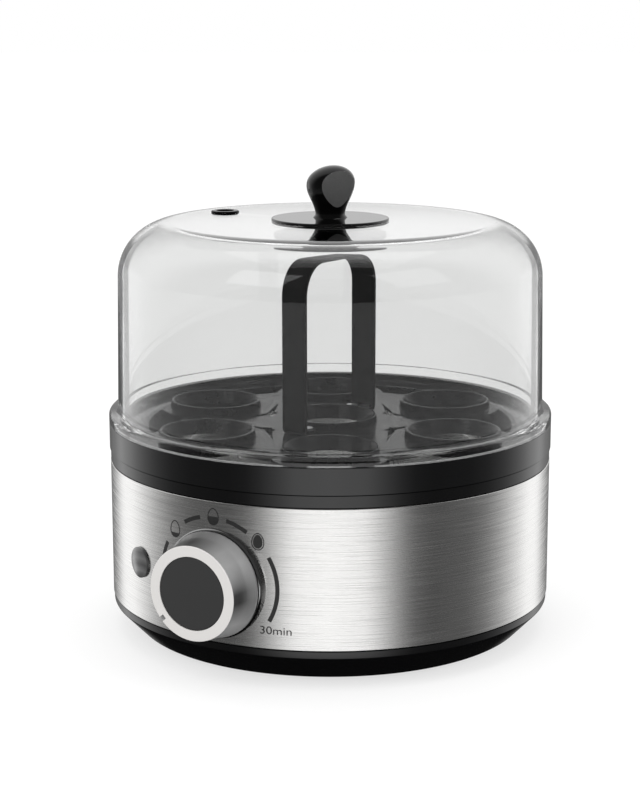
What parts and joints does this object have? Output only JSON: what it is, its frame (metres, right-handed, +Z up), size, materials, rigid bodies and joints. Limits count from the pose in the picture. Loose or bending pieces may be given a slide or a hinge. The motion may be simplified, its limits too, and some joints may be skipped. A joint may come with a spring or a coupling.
{
  "type": "egg cooker",
  "caption": "Round electric egg steamer with a clear domed lid, lift-out tray with strip handle, water dish, brushed steel base and a clockwork timer dial.",
  "frame": {"origin": "on the cooker's upright axis, in the plane the feet stand on", "axes": "+Z up; -Y is the front, with the dial 29 degrees to the viewer's left of it; +X to the viewer's right"},
  "size_m": [0.1668, 0.1866, 0.1746],
  "materials": {
    "housing_black": "satin moulded",
    "band_steel": "brushed round the band",
    "dish_steel": "polished",
    "hardware_steel": "zinc plated",
    "timer_metal": "plain",
    "shaft_steel": "turned",
    "element_metal": "dull",
    "thermostat_black": "moulded",
    "fuse_ceramic": "plain",
    "terminal_cream": "moulded",
    "wire_cover": "woven sleeve",
    "dial_metal": "satin turned",
    "dial_cap_dark": "matt",
    "dial_hub_black": "moulded",
    "bezel_chrome": "polished",
    "lens_grey": "clear grey",
    "lamp_glass": "clear",
    "seal_silicone": "silicone",
    "feet_rubber": "matt",
    "tray_black": "gloss moulded",
    "handle_black": "satin",
    "lid_clear": "clear",
    "knob_black": "gloss",
    "lid_trim_black": "moulded"
  },
  "bodies": {
    "base": {"bottom_cover": "housing_black", "rubber_feet": "feet_rubber", "cover_screws": "hardware_steel", "steel_band": "band_steel", "base_housing": "housing_black", "top_ring": "housing_black", "heating_plate": "dish_steel", "plate_gasket": "seal_silicone", "plate_studs": "hardware_steel", "plate_nuts": "hardware_steel", "heating_element": "element_metal", "thermostat": "thermostat_black", "thermostat_bracket": "hardware_steel", "thermal_fuse": "fuse_ceramic", "timer_body": "timer_metal", "timer_bell": "timer_metal", "timer_screws": "hardware_steel", "dial_bezel": "bezel_chrome", "indicator_lens": "lens_grey", "indicator_lamp": "lamp_glass", "lens_retainer": "housing_black", "cord_gland": "housing_black", "gland_nut": "housing_black", "terminal_block": "terminal_cream", "internal_wiring": "wire_cover"},
    "dial": {"timer_shaft": "shaft_steel", "dial_core": "dial_hub_black", "dial_shell": "dial_metal", "dial_cap": "dial_cap_dark"},
    "tray": {"tray_rim": "tray_black", "tray_deck": "tray_black", "egg_seats": "tray_black", "tray_handle": "handle_black", "handle_rivets": "hardware_steel"},
    "lid": {"lid_dome": "lid_clear", "vent_grommet": "lid_trim_black", "lid_disc": "knob_black", "lid_knob": "knob_black", "knob_base_plate": "lid_trim_black", "knob_seal": "seal_silicone", "knob_screws": "hardware_steel"}
  },
  "joints": [
    {"name": "tray_lift", "type": "slide", "parent": "base", "child": "tray", "axis": [0, 0, 1], "range_m": [0, 0.12]},
    {"name": "lid_lift", "type": "slide", "parent": "tray", "child": "lid", "axis": [0, 0, 1], "range_m": [0, 0.1]},
    {"name": "dial_turn", "type": "hinge", "parent": "base", "child": "dial", "pos_m": [0, 0, 0.036], "axis": [0.4879, 0.8729, 0], "range_deg": [0, 252]}
  ]
}
